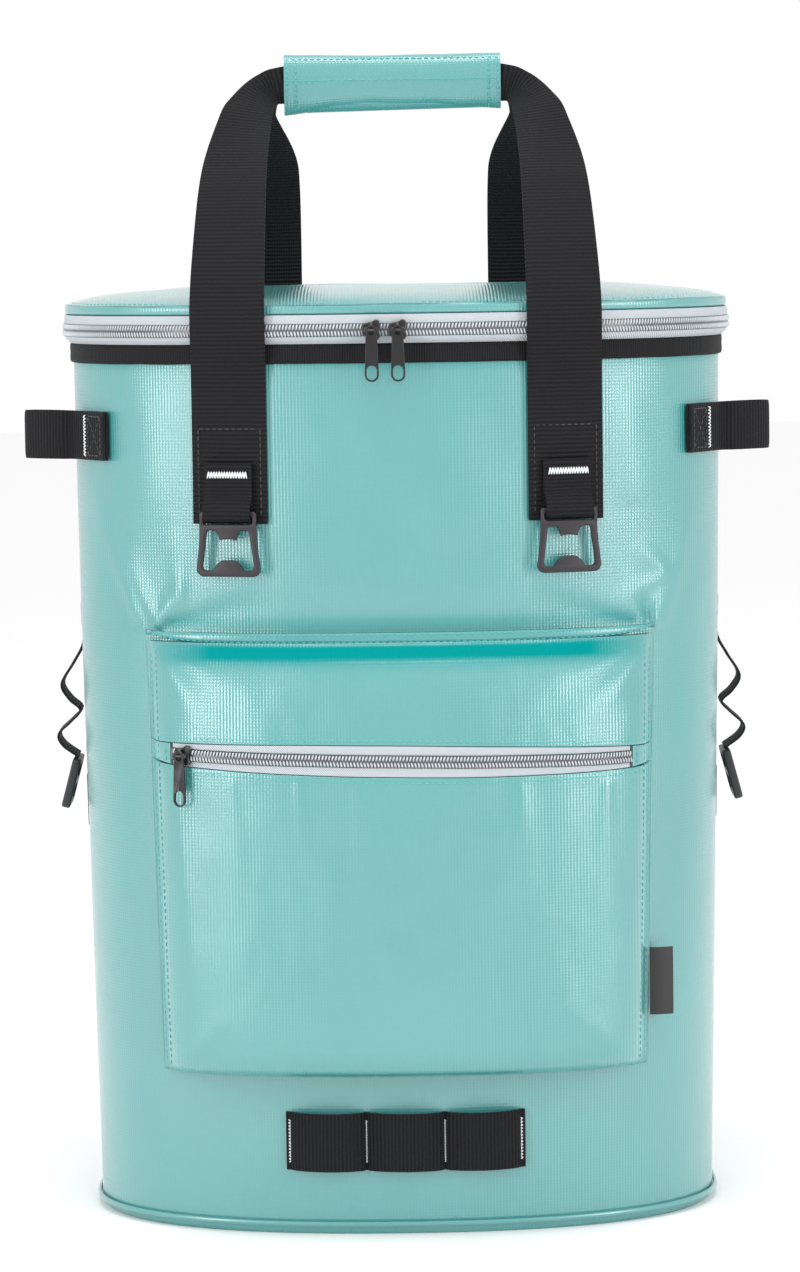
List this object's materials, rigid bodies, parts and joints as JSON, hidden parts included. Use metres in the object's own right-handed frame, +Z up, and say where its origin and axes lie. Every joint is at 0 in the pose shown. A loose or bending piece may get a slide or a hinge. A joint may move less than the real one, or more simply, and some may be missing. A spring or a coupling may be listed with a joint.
{
  "type": "cooler backpack",
  "caption": "Tall oval insulated backpack in teal tarpaulin with a zipped lid, front pocket, webbing carry handle, bottle openers and padded shoulder straps.",
  "frame": {"origin": "middle of the flat base", "axes": "+Z up towards the lid and the carry handle, -Y towards the front with the pocket, +X to the viewer's right when facing the front"},
  "size_m": [0.3888, 0.2801, 0.604],
  "materials": {
    "tarpaulin": "coated, glossy",
    "webbing": "woven, matte",
    "back_mesh": "padded mesh, matte",
    "zip_tape": "woven, satin",
    "zip_coil": "satin",
    "zip_metal": "black, satin",
    "opener_metal": "gunmetal, satin",
    "label_cloth": "woven, matte",
    "buckle_plastic": "satin",
    "thread": "matte"
  },
  "bodies": {
    "bag": {"body_shell": "tarpaulin", "base_piping": "tarpaulin", "rim_binding": "webbing", "lid_zip_tape_lower": "zip_tape", "lid_zip_coil": "zip_coil", "lid_zip_tape_upper": "zip_tape", "lid_hinge": "tarpaulin", "lid_panel": "tarpaulin", "lid_zip_slider_left": "zip_metal", "lid_zip_slider_right": "zip_metal", "pocket_lower_panel": "tarpaulin", "pocket_upper_panel": "tarpaulin", "pocket_zip_tape_upper": "zip_tape", "pocket_zip_tape_lower": "zip_tape", "pocket_zip_coil": "zip_coil", "pocket_zip_end_left": "tarpaulin", "pocket_zip_end_right": "tarpaulin", "pocket_zip_slider": "zip_metal", "pocket_label": "label_cloth", "daisy_chain": "webbing", "handle_strap_front": "webbing", "handle_strap_back": "webbing", "handle_grip": "tarpaulin", "opener_loop_left": "webbing", "opener_loop_right": "webbing", "side_tab_left": "webbing", "side_tab_right": "webbing", "back_panel": "back_mesh", "shoulder_pad_left": "back_mesh", "side_webbing_left": "webbing", "side_anchor_left": "webbing", "side_buckle_left": "buckle_plastic", "shoulder_pad_right": "back_mesh", "side_webbing_right": "webbing", "side_anchor_right": "webbing", "side_buckle_right": "buckle_plastic"},
    "lid_pull_left": {"lid_zip_pull_left": "zip_metal"},
    "lid_pull_right": {"lid_zip_pull_right": "zip_metal"},
    "pocket_pull": {"pocket_zip_pull": "zip_metal"},
    "bottle_opener_left": {"opener_left": "opener_metal"},
    "bottle_opener_right": {"opener_right": "opener_metal"}
  },
  "joints": [
    {"name": "lid_pull_left_swing", "type": "hinge", "parent": "bag", "child": "lid_pull_left", "pos_m": [-0.0123, -0.11297, 0.46297], "axis": [-1, 0, 0], "range_deg": [0, 150]},
    {"name": "lid_pull_right_swing", "type": "hinge", "parent": "bag", "child": "lid_pull_right", "pos_m": [0.0009, -0.11297, 0.46297], "axis": [-1, 0, 0], "range_deg": [0, 150]},
    {"name": "pocket_pull_swing", "type": "hinge", "parent": "bag", "child": "pocket_pull", "pos_m": [-0.11237, -0.11432, 0.24977], "axis": [-0.858, 0.5137, 0], "range_deg": [0, 150]},
    {"name": "opener_left_swing", "type": "hinge", "parent": "bag", "child": "bottle_opener_left", "pos_m": [-0.08621, -0.09918, 0.3705], "axis": [-0.96, 0.2799, 0], "range_deg": [0, 95]},
    {"name": "opener_right_swing", "type": "hinge", "parent": "bag", "child": "bottle_opener_right", "pos_m": [0.08621, -0.09918, 0.3705], "axis": [-0.96, -0.2799, 0], "range_deg": [0, 95]}
  ]
}
